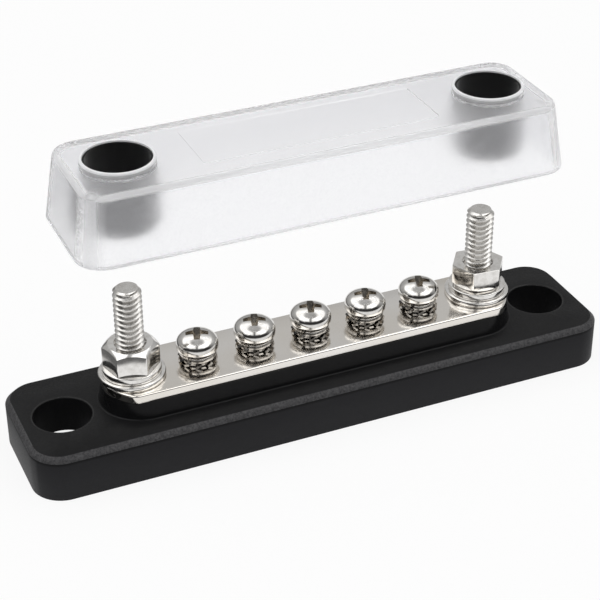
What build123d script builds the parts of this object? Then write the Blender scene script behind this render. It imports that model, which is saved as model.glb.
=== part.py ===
from build123d import *

import os
from math import atan, cos, degrees, pi, radians, sqrt

# Bus bar: a black moulded base carries a plated bar with two threaded studs and a row of
# terminal screws, under a clear cover that is shown lifted off. Millimetres, +Z up. The origin is
# the middle of the base's underside, +X runs along the bar and -Y faces the front.

# Plated bar
stud_spacing = 85.7
bar_end_beyond_stud = 6.65
bar_width = 17.7
bar_thickness = 2.0
bar_end_radius = 10.6
bar_edge_bevel = 0.3

# Base moulding: a slab with a raised pedestal under the bar
pedestal_ledge = 0.3
pedestal_draft_inset = 0.8
pedestal_height = 4.15
pedestal_foot_radius = 0.5
slab_height = 10.9
slab_side_land = 6.05
slab_corner_radius = 7.2
slab_top_chamfer = 1.25
mount_hole_radius = 6.5
mount_hole_land = 2.2
mount_hole_end_wall = 3.8
mount_hole_rim_radius = 0.35

# Studs: hex bolts that come up through the base from pockets in its underside
stud_radius = 3.175
stud_height_above_bar = 22.2
stud_tip_chamfer = 0.75
stud_hole_clearance = 0.2
stud_head_flats = 11.11
stud_head_height = 4.0
head_pocket_clearance = 0.25
head_seat_thickness = 7.5

# Nuts and washers on the studs
nut_flats = 11.11
nut_height = 5.56
nut_chamfer_drop = 1.0
nut_thread_clearance = 0.05
nut_bore_chamfer = 0.4
nut_chamfer_inset = 0.6
nut_edge_bevel = 0.22
nut_turns = {"left": 44.0, "right": 54.7}
nut_chamfer_up = {"left": True, "right": False}
flat_washer_radius = 7.5
flat_washer_thickness = 1.25
flat_washer_chamfer = 0.15
washer_bore_clearance = 0.2
lock_washer_radius = 6.65
lock_washer_thickness = 1.6
lock_washer_gap = 0.7
lock_washer_turn = 20.0
split_washer_chamfer = 0.2
split_slant = 35.0

# Terminal screws with a split washer and a toothed washer held under each head
screw_count = 5
stud_to_first_screw = 15.4
screw_radius = 2.5
screw_length = 10.0
screw_tip_chamfer = 0.6
screw_head_radius = 4.75
screw_head_height = 3.85
screw_head_side = 1.1
screw_head_chamfer = 0.25
screw_crown_radius_ratio = 0.5
screw_crown_drop = 0.33
screw_shoulder_radius_ratio = 0.9
screw_shoulder_height_ratio = 0.47
screw_thread_clearance = 0.05
screw_tip_room = 1.0
recess_span = 5.4
recess_arm_width = 1.4
recess_depth = 2.1
recess_taper_ratio = 0.48
recess_turn = -20.0
screw_lock_radius = 4.2
screw_lock_thickness = 1.2
screw_lock_rise = 0.85
screw_lock_seat = 0.02
screw_lock_gap = 0.7
screw_lock_turn = -135.0
screw_washer_clearance = 0.15
star_ring_radius = 3.6
star_tip_radius = 4.45
star_plate = 0.5
star_tooth_width = 1.25
star_tooth_twist = 28.0
star_tooth_count = 10
star_tooth_root = 0.6

# Clear cover with two collars, each lined with a black sleeve
cover_end_beyond_stud = 13.4
cover_rim_width = 32.0
cover_height = 15.2
cover_wall = 1.8
cover_roof = 1.8
cover_draft_inset = 2.2
cover_corner_radius = 6.5
cover_edge_radius = 1.3
cover_lift = 37.2
collar_wall = 0.65
collar_rise = 1.2
collar_lip_radius = 0.3
collar_above_sleeve_foot = 1.0
sleeve_wall = 0.55
sleeve_nut_clearance = 0.15
sleeve_foot_above_rim = 1.5
sleeve_top_below_lip = 0.25
sleeve_seat_gap = 0.05
label_length = 54.0
label_width = 16.0
label_depth = 0.2
label_corner_radius = 1.0

# Levels and places that follow from the sizes above
bar_length = stud_spacing + 2 * bar_end_beyond_stud
pedestal_length = bar_length + 2 * (pedestal_ledge + pedestal_draft_inset)
pedestal_width = bar_width + 2 * (pedestal_ledge + pedestal_draft_inset)
mount_hole_x = pedestal_length / 2 + mount_hole_land + mount_hole_radius
slab_length = 2 * (mount_hole_x + mount_hole_radius + mount_hole_end_wall)
slab_width = pedestal_width + 2 * slab_side_land
pedestal_top = slab_height + pedestal_height
bar_top = pedestal_top + bar_thickness
head_seat = pedestal_top - head_seat_thickness
lock_washer_bottom = bar_top + flat_washer_thickness
nut_bottom = lock_washer_bottom + lock_washer_thickness
stud_top = bar_top + stud_height_above_bar
stud_hole_radius = stud_radius + stud_hole_clearance
stud_side = {"left": -stud_spacing / 2, "right": stud_spacing / 2}

star_height = star_plate * cos(radians(star_tooth_twist))
star_height += star_tooth_width * sqrt(1 - cos(radians(star_tooth_twist)) ** 2)
screw_lock_bottom = bar_top + star_height
screw_head_bottom = screw_lock_bottom + screw_lock_thickness + screw_lock_rise + 2 * screw_lock_seat
screw_tip = screw_head_bottom - screw_length
screw_pitch = (stud_spacing - 2 * stud_to_first_screw) / (screw_count - 1)
screw_first_x = -stud_spacing / 2 + stud_to_first_screw
screw_x = [screw_first_x + number * screw_pitch for number in range(screw_count)]

sleeve_inner_radius = lock_washer_radius + sleeve_nut_clearance
sleeve_outer_radius = sleeve_inner_radius + sleeve_wall
collar_outer_radius = sleeve_outer_radius + collar_wall
cover_seated_rim = lock_washer_bottom + sleeve_seat_gap - sleeve_foot_above_rim
cover_rim = cover_seated_rim + cover_lift
cover_top = cover_rim + cover_height
cover_rim_length = stud_spacing + 2 * cover_end_beyond_stud
collar_top = cover_top + collar_rise
sleeve_foot = cover_rim + sleeve_foot_above_rim


def column(radius, bottom, top, x=0.0):
    """A round column that stands on the line x, 0 between two heights."""
    return Pos(x, 0, bottom) * extrude(Circle(radius), amount=top - bottom)


def hexagon(flats, bottom, top, x=0.0, turn=0.0):
    """A hexagonal column of a width across flats, with a corner turned from +X."""
    outline = RegularPolygon(radius=flats / sqrt(3), side_count=6)
    return Pos(x, 0, bottom) * Rot(0, 0, turn) * extrude(outline, amount=top - bottom)


def rounded_block(length, width, radius, bottom, height):
    """A block with rounded upright corners."""
    return Pos(0, 0, bottom) * extrude(RectangleRounded(length, width, radius), amount=height)


def edges_at(solid, height, tolerance=0.01):
    """The edges of a solid that lie flat at one height."""
    flat = solid.edges().filter_by(GeomType.CIRCLE) + solid.edges().filter_by(GeomType.LINE)
    return [edge for edge in flat if abs(edge.bounding_box().min.Z - height) < tolerance
            and abs(edge.bounding_box().max.Z - height) < tolerance]


def round_edges_at(solid, height, radius):
    """The circular edges of one radius that lie flat at a height."""
    return [edge for edge in edges_at(solid, height)
            if edge.geom_type == GeomType.CIRCLE and abs(edge.radius - radius) < 0.01]


def build_base():
    """The moulded base: chamfered slab, pedestal, mounting holes, bolt pockets, screw holes."""
    slab = rounded_block(slab_length, slab_width, slab_corner_radius, 0, slab_height)
    slab = chamfer(edges_at(slab, slab_height), slab_top_chamfer)
    pedestal = Pos(0, 0, slab_height) * extrude(
        SlotOverall(pedestal_length, pedestal_width), amount=pedestal_height,
        taper=degrees(atan(pedestal_draft_inset / pedestal_height)))
    base = slab + pedestal
    foot = [edge for edge in edges_at(base, slab_height)
            if edge.bounding_box().max.Y < pedestal_width / 2 + 0.01
            and edge.bounding_box().max.X < pedestal_length / 2 + 0.01
            and edge.bounding_box().min.X > -pedestal_length / 2 - 0.01
            and edge.bounding_box().min.Y > -pedestal_width / 2 - 0.01]
    base = fillet(foot, min(pedestal_foot_radius, pedestal_height / 3))
    for side in (-1, 1):
        base -= column(mount_hole_radius, -1, slab_height + 1, side * mount_hole_x)
    base = fillet(round_edges_at(base, slab_height, mount_hole_radius),
                  min(mount_hole_rim_radius, mount_hole_land / 3))
    for x in stud_side.values():
        base -= column(stud_hole_radius, -1, pedestal_top + 1, x)
        base -= hexagon(stud_head_flats + 2 * head_pocket_clearance, -1, head_seat, x)
    hole_bottom = screw_tip - screw_tip_room
    for x in screw_x:
        base -= column(screw_radius + stud_hole_clearance, hole_bottom, pedestal_top + 1, x)
    return base


def build_bar():
    """The plated bar: a strip with rounded ends, bevelled top edges and its row of holes."""
    half_width = bar_width / 2
    radius = max(bar_end_radius, half_width)
    corner_x = bar_length / 2 - radius + sqrt(radius ** 2 - half_width ** 2)
    front = Line((-corner_x, -half_width), (corner_x, -half_width))
    right = ThreePointArc((corner_x, -half_width), (bar_length / 2, 0), (corner_x, half_width))
    back = Line((corner_x, half_width), (-corner_x, half_width))
    left = ThreePointArc((-corner_x, half_width), (-bar_length / 2, 0), (-corner_x, -half_width))
    outline = make_face([front, right, back, left])
    bar = Pos(0, 0, pedestal_top) * extrude(outline, amount=bar_thickness)
    bar = chamfer(edges_at(bar, bar_top), min(bar_edge_bevel, bar_thickness / 3))
    for x in stud_side.values():
        bar -= column(stud_hole_radius, pedestal_top - 1, bar_top + 1, x)
    for x in screw_x:
        bar -= column(screw_radius + screw_thread_clearance, pedestal_top - 1, bar_top + 1, x)
    return bar


def build_stud(x):
    """A hex bolt from below: head in its pocket, plain thread envelope, chamfered tip."""
    shank = column(stud_radius, head_seat, stud_top, x)
    shank = chamfer(edges_at(shank, stud_top), stud_tip_chamfer)
    head = hexagon(stud_head_flats, head_seat - stud_head_height, head_seat, x)
    return shank + head


def build_flat_washer(x):
    """The plain washer that lies on the bar round a stud."""
    bore = stud_radius + washer_bore_clearance
    ring = column(flat_washer_radius, bar_top, lock_washer_bottom, x)
    ring = chamfer(edges_at(ring, lock_washer_bottom),
                   min(flat_washer_chamfer, flat_washer_thickness / 4))
    return ring - column(bore, bar_top - 1, lock_washer_bottom + 1, x)


def build_split_washer(radius, bore, bottom, thickness, gap, x, turn):
    """A split lock washer pressed flat: a ring cut through on a slant at one place."""
    ring = column(radius, bottom, bottom + thickness, x)
    ring = chamfer(edges_at(ring, bottom + thickness), min(split_washer_chamfer, thickness / 4))
    ring -= column(bore, bottom - 1, bottom + thickness + 1, x)
    cutter = Rot(split_slant, 0, 0) * Box(radius, gap, 4 * thickness)
    place = Pos(x, 0, bottom + thickness / 2) * Rot(0, 0, turn) * Pos((radius + bore) / 2, 0, 0)
    return ring - place * cutter


def build_spring_washer(x):
    """A split lock washer in its free state: one turn of a rectangular coil with a gap."""
    bore = screw_radius + screw_washer_clearance
    middle = (screw_lock_radius + bore) / 2
    open_share = screw_lock_gap / (2 * pi * middle)
    coil = Helix(pitch=screw_lock_rise / (1 - open_share), height=screw_lock_rise, radius=middle)
    section = Plane(origin=coil @ 0, x_dir=(1, 0, 0), z_dir=coil % 0) * Rectangle(
        screw_lock_radius - bore, screw_lock_thickness)
    place = Pos(x, 0, screw_lock_bottom + screw_lock_seat + screw_lock_thickness / 2)
    return place * Rot(0, 0, screw_lock_turn) * sweep(section, path=coil, is_frenet=True)


def build_nut(x, turn, chamfer_up):
    """A hex nut with one chamfered face, up or down, and fine bevels on the other."""
    top = nut_bottom + nut_height
    body = hexagon(nut_flats, nut_bottom, top, x, turn)
    corner = nut_flats / sqrt(3)
    flat = nut_flats / 2 - nut_chamfer_inset
    slope = nut_chamfer_drop / (corner - flat)
    reach = corner + 1
    profile = Polyline((0, 0), (reach, 0), (reach, nut_height - slope * (reach - flat)),
                       (flat, nut_height), (0, nut_height), close=True)
    envelope = revolve(Plane.XZ * make_face(profile), Axis.Z)
    if not chamfer_up:
        envelope = Rot(180, 0, 0) * envelope
        envelope = Pos(0, 0, nut_height) * envelope
    body = body & (Pos(x, 0, nut_bottom) * envelope)
    plain = nut_bottom if chamfer_up else top
    body = chamfer([edge for edge in edges_at(body, plain) if edge.geom_type == GeomType.LINE],
                   nut_edge_bevel)
    bore = stud_radius + nut_thread_clearance
    body -= column(bore, nut_bottom - 1, top + 1, x)
    rims = round_edges_at(body, top, bore) + round_edges_at(body, nut_bottom, bore)
    return chamfer(rims, nut_bore_chamfer)


def build_screw(x):
    """A pan head screw with a cross recess and a plain thread envelope."""
    top = screw_head_bottom + screw_head_height
    side_top = screw_head_bottom + screw_head_side
    under = screw_head_radius - screw_head_chamfer
    side_bottom = screw_head_bottom + screw_head_chamfer
    crown = (screw_head_radius * screw_crown_radius_ratio, top - screw_crown_drop)
    shoulder = (screw_head_radius * screw_shoulder_radius_ratio,
                side_top + (top - side_top) * screw_shoulder_height_ratio)
    outline = [
        Line((0, screw_head_bottom), (under, screw_head_bottom)),
        Line((under, screw_head_bottom), (screw_head_radius, side_bottom)),
        Line((screw_head_radius, side_bottom), (screw_head_radius, side_top)),
        Spline((screw_head_radius, side_top), shoulder, crown, (0, top),
               tangents=((0, 1), (-1, 0))),
        Line((0, top), (0, screw_head_bottom)),
    ]
    head = revolve(Plane.XZ * make_face(outline), Axis.Z)
    recess = Cone(recess_span / 2 * recess_taper_ratio, recess_span / 2, recess_depth)
    arms = Box(recess_span, recess_arm_width, recess_depth)
    arms += Box(recess_arm_width, recess_span, recess_depth)
    recess = Pos(0, 0, top - recess_depth / 2) * Rot(0, 0, recess_turn) * (recess & arms)
    head = Pos(x, 0, 0) * (head - recess)
    shank = column(screw_radius, screw_tip, screw_head_bottom, x)
    shank = chamfer(edges_at(shank, screw_tip), screw_tip_chamfer)
    return head + shank


def build_star_washer(x):
    """A toothed lock washer: a thin ring with teeth twisted out of its plane."""
    bore = screw_radius + screw_washer_clearance
    middle = bar_top + star_height / 2
    ring = column(star_ring_radius, middle - star_plate / 2, middle + star_plate / 2, x)
    reach = star_tip_radius - star_ring_radius + star_tooth_root
    tooth = Rot(star_tooth_twist, 0, 0) * Box(reach, star_tooth_width, star_plate)
    for number in range(star_tooth_count):
        turn = number * 360 / star_tooth_count
        place = Pos(x, 0, middle) * Rot(0, 0, turn) * Pos(star_tip_radius - reach / 2, 0, 0)
        ring += place * tooth
    return ring - column(bore, bar_top - 1, bar_top + star_height + 1, x)


def cover_shell(inset, drop, edge_radius):
    """A drafted block with rounded corners and a rounded roof edge, for outside or cavity."""
    height = cover_height - drop
    rim_length = cover_rim_length - 2 * inset
    rim_width = cover_rim_width - 2 * inset
    radius = cover_corner_radius - inset
    slant = cover_draft_inset * height / cover_height
    lower = Plane.XY * RectangleRounded(rim_length, rim_width, radius)
    upper = Plane.XY.offset(height) * RectangleRounded(
        rim_length - 2 * slant, rim_width - 2 * slant, radius - slant / 2)
    block = loft([lower.face(), upper.face()])
    roof = block.faces().sort_by(Axis.Z)[-1]
    return Pos(0, 0, cover_rim) * fillet(roof.edges(), edge_radius)


def build_cover():
    """The clear moulded cover: drafted shell, lined collars through its roof, label recess."""
    cover = cover_shell(0, 0, min(cover_edge_radius, cover_wall * 0.8))
    cavity = cover_shell(cover_wall, cover_roof, min(cover_edge_radius / 2, cover_wall / 2))
    cover -= cavity
    for x in stud_side.values():
        cover += column(collar_outer_radius, sleeve_foot + collar_above_sleeve_foot, collar_top, x)
    lip = round_edges_at(cover, collar_top, collar_outer_radius)
    cover = fillet(lip, min(collar_lip_radius, collar_wall / 2, collar_rise / 3))
    for x in stud_side.values():
        cover -= column(sleeve_outer_radius, cover_rim - 1, collar_top + 1, x)
    recess = RectangleRounded(label_length, label_width, label_corner_radius)
    cover -= Pos(0, 0, cover_top - label_depth) * extrude(recess, amount=2 * label_depth)
    return cover


def build_sleeve(x):
    """The black sleeve that lines a collar and passes over the nut."""
    top = collar_top - sleeve_top_below_lip
    sleeve = column(sleeve_outer_radius, sleeve_foot, top, x)
    return sleeve - column(sleeve_inner_radius, sleeve_foot - 1, top + 1, x)


def build_parts():
    """Every piece of the bus bar by its name."""
    parts = {
        "base": build_base(),
        "bus_bar": build_bar(),
        "cover": build_cover(),
    }
    lock_bore = stud_radius + washer_bore_clearance
    for side, x in stud_side.items():
        parts[f"stud_{side}"] = build_stud(x)
        parts[f"flat_washer_{side}"] = build_flat_washer(x)
        parts[f"lock_washer_{side}"] = build_split_washer(
            lock_washer_radius, lock_bore, lock_washer_bottom, lock_washer_thickness,
            lock_washer_gap, x, lock_washer_turn)
        parts[f"stud_nut_{side}"] = build_nut(x, nut_turns[side], nut_chamfer_up[side])
        parts[f"cover_sleeve_{side}"] = build_sleeve(x)
    for number, x in enumerate(screw_x, start=1):
        parts[f"terminal_screw_{number}"] = build_screw(x)
        parts[f"screw_lock_washer_{number}"] = build_spring_washer(x)
        parts[f"star_washer_{number}"] = build_star_washer(x)
    return parts


def main():
    """Write one STEP file for each piece."""
    os.makedirs("parts", exist_ok=True)
    for name, solid in build_parts().items():
        solid.label = name
        export_step(solid, f"parts/{name}.step")
    print(f"slab {slab_length:.2f} x {slab_width:.2f}, holes at {mount_hole_x:.2f}")
    print(f"screws at {[round(x, 2) for x in screw_x]}, tip {screw_tip:.2f}")
    print(f"levels: bar {bar_top:.2f}, nut {nut_bottom:.2f}, stud {stud_top:.2f}")
    print(f"cover rim {cover_rim:.2f}, seated {cover_seated_rim:.2f}, collar {collar_top:.2f}")


main()
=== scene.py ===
"""Looks of a covered bus bar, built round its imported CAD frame.

Meshes are shaped in millimetres about the Z axis, and scaled to metres when they are finished.
"""

from __future__ import annotations

import logging
import math
from dataclasses import dataclass, field
from enum import Enum
from typing import NamedTuple

import bmesh
import bpy
from mathutils import Matrix, Vector

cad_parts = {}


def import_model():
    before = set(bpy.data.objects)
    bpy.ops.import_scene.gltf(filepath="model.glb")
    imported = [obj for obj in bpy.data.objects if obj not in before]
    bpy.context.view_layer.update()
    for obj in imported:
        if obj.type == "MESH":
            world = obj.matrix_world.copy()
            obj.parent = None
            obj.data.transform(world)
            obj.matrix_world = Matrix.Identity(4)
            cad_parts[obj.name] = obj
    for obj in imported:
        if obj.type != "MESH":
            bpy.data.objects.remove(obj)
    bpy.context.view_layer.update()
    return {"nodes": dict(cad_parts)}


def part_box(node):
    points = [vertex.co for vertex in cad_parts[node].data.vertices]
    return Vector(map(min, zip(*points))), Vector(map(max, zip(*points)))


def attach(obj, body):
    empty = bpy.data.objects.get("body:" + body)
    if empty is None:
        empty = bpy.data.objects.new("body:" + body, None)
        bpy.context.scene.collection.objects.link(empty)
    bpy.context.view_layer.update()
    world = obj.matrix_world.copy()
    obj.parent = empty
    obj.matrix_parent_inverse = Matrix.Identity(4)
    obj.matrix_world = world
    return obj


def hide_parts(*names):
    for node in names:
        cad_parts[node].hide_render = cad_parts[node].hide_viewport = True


log = logging.getLogger("bus_bar")

Pair = tuple[float, float]
Triple = tuple[float, float, float]
Material = bpy.types.Material
Node = bpy.types.Node
Shell = bmesh.types.BMesh
Socket = bpy.types.NodeSocket

MM = 0.001
MERGE_BELOW = 1e-4
SMOOTH_BELOW = math.radians(32)
SCREW_NUMBERS = range(1, 6)


class Side(Enum):
    """The two ends of the bus bar."""

    LEFT = "left"
    RIGHT = "right"


class NutFace(Enum):
    """Which way the chamfered face of a stud nut looks."""

    UP = "up"
    DOWN = "down"


# Mesh work


def open_line(points: list[Pair], closed: bool = False) -> Shell:
    """Starts a mesh from a half section.

    Args:
        points: Radius and height of each corner.
        closed: True where the last point joins the first.

    Returns:
        A mesh of loose edges in the XZ plane.
    """
    shape = bmesh.new()
    corners = [shape.verts.new((radius, 0.0, height)) for radius, height in points]
    for start, end in zip(corners, corners[1:]):
        shape.edges.new((start, end))
    if closed:
        shape.edges.new((corners[-1], corners[0]))
    return shape


def tidy_shell(shape: Shell) -> Shell:
    """Merges doubled points, closes holes and turns every face outwards.

    Args:
        shape: The mesh, which is changed.

    Returns:
        The same mesh as a closed shell.
    """
    bmesh.ops.remove_doubles(shape, verts=shape.verts[:], dist=MERGE_BELOW)
    rims = [edge for edge in shape.edges if edge.is_boundary]
    if rims:
        bmesh.ops.holes_fill(shape, edges=rims, sides=0)
    bmesh.ops.recalc_face_normals(shape, faces=shape.faces[:])
    return shape


def shifted(shape: Shell, x: float = 0.0, z: float = 0.0) -> Shell:
    """Moves a mesh along the bar and up, and returns it."""
    bmesh.ops.translate(shape, verts=shape.verts[:], vec=(x, 0.0, z))
    return shape


def wound(line: Shell, angle: float, steps: int, climb: float = 0.0, merge: bool = False) -> Shell:
    """Winds a line round the Z axis.

    Args:
        line: The mesh of loose edges, which is changed.
        angle: How far it is wound, in radians.
        steps: Number of facets on the way.
        climb: How much it rises with each of them.
        merge: True for a full turn that joins its own start.

    Returns:
        The same mesh as a skin.
    """
    bmesh.ops.spin(line, geom=[*line.verts, *line.edges], cent=(0, 0, 0), axis=(0, 0, 1),
                   dvec=(0, 0, climb), angle=angle, steps=steps, use_merge=merge,
                   use_duplicate=False)
    return line


def turned(points: list[Pair], steps: int = 96, closed: bool = False) -> Shell:
    """Spins a half section, which is closed for a ring, right round into a closed shell."""
    return tidy_shell(wound(open_line(points, closed), math.tau, steps, merge=True))


def arc(centre: Pair, radius: float, start: float, end: float, steps: int) -> list[Pair]:
    """Draws an arc.

    Args:
        centre: Its centre.
        radius: Its radius.
        start: The angle of its first point, in radians.
        end: The angle of its last point.
        steps: Number of facets.

    Returns:
        The points along it.
    """
    angles = [start + (end - start) * step / steps for step in range(steps + 1)]
    return [(centre[0] + radius * math.cos(angle), centre[1] + radius * math.sin(angle))
            for angle in angles]


def rounded_section(inner: float, outer: float, bottom: float, top: float,
                    corner: float, steps: int = 4) -> list[Pair]:
    """The half section of a ring with four rounded corners.

    Args:
        inner: Bore radius.
        outer: Outside radius.
        bottom: Lower height.
        top: Upper height.
        corner: Radius of the corners.
        steps: Facets on each corner.

    Returns:
        Radius and height of each point, in order round the section.
    """
    centres = ((outer - corner, bottom + corner), (outer - corner, top - corner),
               (inner + corner, top - corner), (inner + corner, bottom + corner))
    points = []
    for quarter, centre in enumerate(centres):
        start = (quarter - 1) * math.pi / 2
        points += arc(centre, corner, start, start + math.pi / 2, steps)
    return points


def ring_at(outline: list[Pair], height: float, scale: float = 1.0) -> list[Triple]:
    """A flat outline as a ring of points at one height."""
    return [(scale * x, scale * y, height) for x, y in outline]


def stacked_rings(rings: list[list[Triple]], closed: bool) -> Shell:
    """Bridges loops of the same number of points, one after another.

    Args:
        rings: The points of each loop.
        closed: True where the last loop is bridged to the first.

    Returns:
        A shell, whose ends are filled where it isn't closed.
    """
    shape = bmesh.new()
    loops = []
    for ring in rings:
        made = bmesh.ops.create_circle(shape, cap_ends=False, radius=1.0, segments=len(ring))
        for vert, spot in zip(made["verts"], ring):
            vert.co = spot
        loops.append([edge for edge in shape.edges if edge.verts[0] in made["verts"]])
    for lower, upper in zip(loops, loops[1:] + (loops[:1] if closed else [])):
        bmesh.ops.bridge_loops(shape, edges=[*lower, *upper])
    return tidy_shell(shape)


def trimmed(shape: Shell, bottom: float, top: float) -> Shell:
    """Cuts a mesh off flat at two heights and closes it.

    Args:
        shape: The mesh, which is changed.
        bottom: Height of the lower cut.
        top: Height of the upper cut.

    Returns:
        The same mesh as a closed shell.
    """
    for height, direction in ((top, 1), (bottom, -1)):
        bmesh.ops.bisect_plane(shape, geom=[*shape.verts, *shape.edges, *shape.faces],
                               plane_co=(0, 0, height), plane_no=(0, 0, direction),
                               clear_outer=True)
    return tidy_shell(shape)


def joined(target: Shell, *extras: Shell) -> Shell:
    """Adds the faces of other meshes to one.

    Args:
        target: The mesh that is added to.
        extras: The others, which are freed.

    Returns:
        The mesh that was added to.
    """
    for extra in extras:
        passing = bpy.data.meshes.new("passing")
        extra.to_mesh(passing)
        extra.free()
        target.from_mesh(passing)
        bpy.data.meshes.remove(passing)
    return target


def cut_away(body: Shell, tool: Shell) -> Shell:
    """Cuts one closed shell out of another with an exact boolean.

    Args:
        body: The shell that is cut, which is freed.
        tool: The shell that is taken out of it, which is freed.

    Returns:
        What is left of the body.
    """
    pair = []
    for name, shape in (("boolean_body", body), ("boolean_tool", tool)):
        mesh = bpy.data.meshes.new(name)
        shape.to_mesh(mesh)
        shape.free()
        holder = bpy.data.objects.new(name, mesh)
        bpy.context.scene.collection.objects.link(holder)
        pair.append(holder)
    cut = pair[0].modifiers.new("cut", "BOOLEAN")
    cut.operation = "DIFFERENCE"
    cut.solver = "EXACT"
    cut.object = pair[1]
    graph = bpy.context.evaluated_depsgraph_get()
    result = bpy.data.meshes.new_from_object(pair[0].evaluated_get(graph))
    left = bmesh.new()
    left.from_mesh(result)
    for holder in pair:
        mesh = holder.data
        bpy.data.objects.remove(holder)
        bpy.data.meshes.remove(mesh)
    bpy.data.meshes.remove(result)
    return left


@dataclass(frozen=True)
class Piece:
    """What a finished mesh is called, where it belongs and what it is made of.

    A hollow finish, made darker with painted shade, goes on the faces with the second material
    index. A piece that isn't mirrored doesn't show in the reflections of the others.
    """

    name: str
    body: str
    slot: str
    finish: Material
    replaces: tuple[str, ...]
    hollow_finish_with_painted_shade: Material | None = None
    mirrored: bool = True

    def make(self, shape: Shell, x: float = 0.0) -> None:
        """Turns a mesh in millimetres into a piece that rides on its body.

        Args:
            shape: The mesh about the Z axis, which is freed.
            x: Where its axis stands on the bar, in millimetres.
        """
        shifted(shape, x)
        bmesh.ops.scale(shape, verts=shape.verts[:], vec=(MM, MM, MM))
        mesh = bpy.data.meshes.new(self.name)
        shape.to_mesh(mesh)
        shape.free()
        mesh.shade_smooth()
        mesh.set_sharp_from_angle(angle=SMOOTH_BELOW)
        mesh.materials.append(self.finish)
        if self.hollow_finish_with_painted_shade:
            mesh.materials.append(self.hollow_finish_with_painted_shade)
        piece = bpy.data.objects.new(self.name, mesh)
        bpy.context.scene.collection.objects.link(piece)
        piece.visible_glossy = self.mirrored
        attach(piece, self.body)
        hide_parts(*self.replaces)
        log.info("%s: %d faces on %s", self.name, len(mesh.polygons), self.body)


# Finishes


class Noise(NamedTuple):
    """A noise pattern, whose factor is mapped from a span onto levels.

    Its axes may be stretched before it is laid out.
    """

    cells_per_metre: float
    octaves: float
    fine_strength: float = 0.5
    levels: Pair = (0.0, 1.0)
    span: Pair = (0.0, 1.0)
    stretch: Triple | None = None


class Nodes:
    """Lays out shader nodes in one tree."""

    def __init__(self, tree: bpy.types.NodeTree) -> None:
        """Empties the tree."""
        self.tree = tree
        tree.nodes.clear()

    def feed(self, target: Socket, value: Socket | Triple | float) -> None:
        """Links a node's output to an input, or sets a plain value on it.

        Args:
            target: The input.
            value: An output, a number, a vector, or a colour without its alpha.
        """
        if isinstance(value, Socket):
            self.tree.links.new(value, target)
        elif target.type == "RGBA":
            target.default_value = (*value, 1.0)
        else:
            target.default_value = value

    def fill(self, node: Node, **values: Socket | Triple | float) -> Node:
        """Feeds a node's named inputs.

        Args:
            node: The node.
            values: What each input is fed, by its name with spaces as underscores.

        Returns:
            The same node.
        """
        for name, value in values.items():
            self.feed(node.inputs[name.replace("_", " ")], value)
        return node

    def add(self, kind: str, **values: Socket | Triple | float) -> Node:
        """Adds a node of one kind and feeds its named inputs."""
        return self.fill(self.tree.nodes.new(kind), **values)

    def maths(self, operation: str, first: Socket, *others: Socket | float) -> Socket:
        """Puts values together, one after another, with a maths operation.

        Args:
            operation: The operation's name.
            first: The value that it starts from.
            others: The values that follow.

        Returns:
            The result.
        """
        for other in others:
            node = self.add("ShaderNodeMath")
            node.operation = operation
            self.feed(node.inputs[0], first)
            self.feed(node.inputs[1], other)
            first = node.outputs["Value"]
        return first

    def product(self, *factors: Socket) -> Socket:
        """The product of some factors."""
        return self.maths("MULTIPLY", *factors)

    def highest(self, *values: Socket) -> Socket:
        """The highest of some values."""
        return self.maths("MAXIMUM", *values)

    def unsigned(self, value: Socket) -> Socket:
        """A value without its sign."""
        return self.maths("ABSOLUTE", value, 0.0)

    def measure(self, operation: str, *vectors: Socket | Triple) -> Socket:
        """Gets a number from vectors.

        Args:
            operation: The vector operation's name.
            vectors: What it works on.

        Returns:
            The number.
        """
        node = self.add("ShaderNodeVectorMath")
        node.operation = operation
        for target, vector in zip(node.inputs, vectors):
            self.feed(target, vector)
        return node.outputs["Value"]

    def axes(self, vector: Socket) -> list[Socket]:
        """A vector's X, Y and Z."""
        return list(self.add("ShaderNodeSeparateXYZ", Vector=vector).outputs)

    def spread(self, value: Socket, levels: Pair, span: Pair = (0.0, 1.0),
               smooth: bool = False) -> Socket:
        """Maps a value onto levels, which it doesn't leave beyond its bounds.

        Args:
            value: The value.
            levels: The level at the lower and at the upper bound.
            span: The two bounds.
            smooth: True for an S-shaped change between them.

        Returns:
            The level.
        """
        node = self.add("ShaderNodeMapRange", Value=value, From_Min=span[0], From_Max=span[1],
                        To_Min=levels[0], To_Max=levels[1])
        if smooth:
            node.interpolation_type = "SMOOTHSTEP"
        return node.outputs["Result"]

    def above(self, value: Socket, level: float, blur: float) -> Socket:
        """A factor that rises from 0 to 1 over a short way above a level."""
        return self.spread(value, (0.0, 1.0), (level, level + blur))

    def below(self, value: Socket, level: float, blur: float) -> Socket:
        """A factor that falls from 1 to 0 over a short way above a level."""
        return self.spread(value, (1.0, 0.0), (level, level + blur))

    def beyond(self, value: Socket, distance: float) -> Socket:
        """How far a value between 0 and 1 lies beyond a distance, less than 0 where it doesn't."""
        return self.spread(value, (-distance, 1.0 - distance))

    def remainder(self, factor: Socket) -> Socket:
        """What a factor leaves of 1."""
        return self.spread(factor, (1.0, 0.0))

    def mix(self, factor: Socket, first: Node, second: Node) -> Node:
        """Mixes two shaders.

        Args:
            factor: How much of the second shows, from 0 to 1.
            first: The first shader.
            second: The second shader.

        Returns:
            The mixed shader.
        """
        node = self.add("ShaderNodeMixShader", Fac=factor)
        self.feed(node.inputs[1], first.outputs[0])
        self.feed(node.inputs[2], second.outputs[0])
        return node


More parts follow.
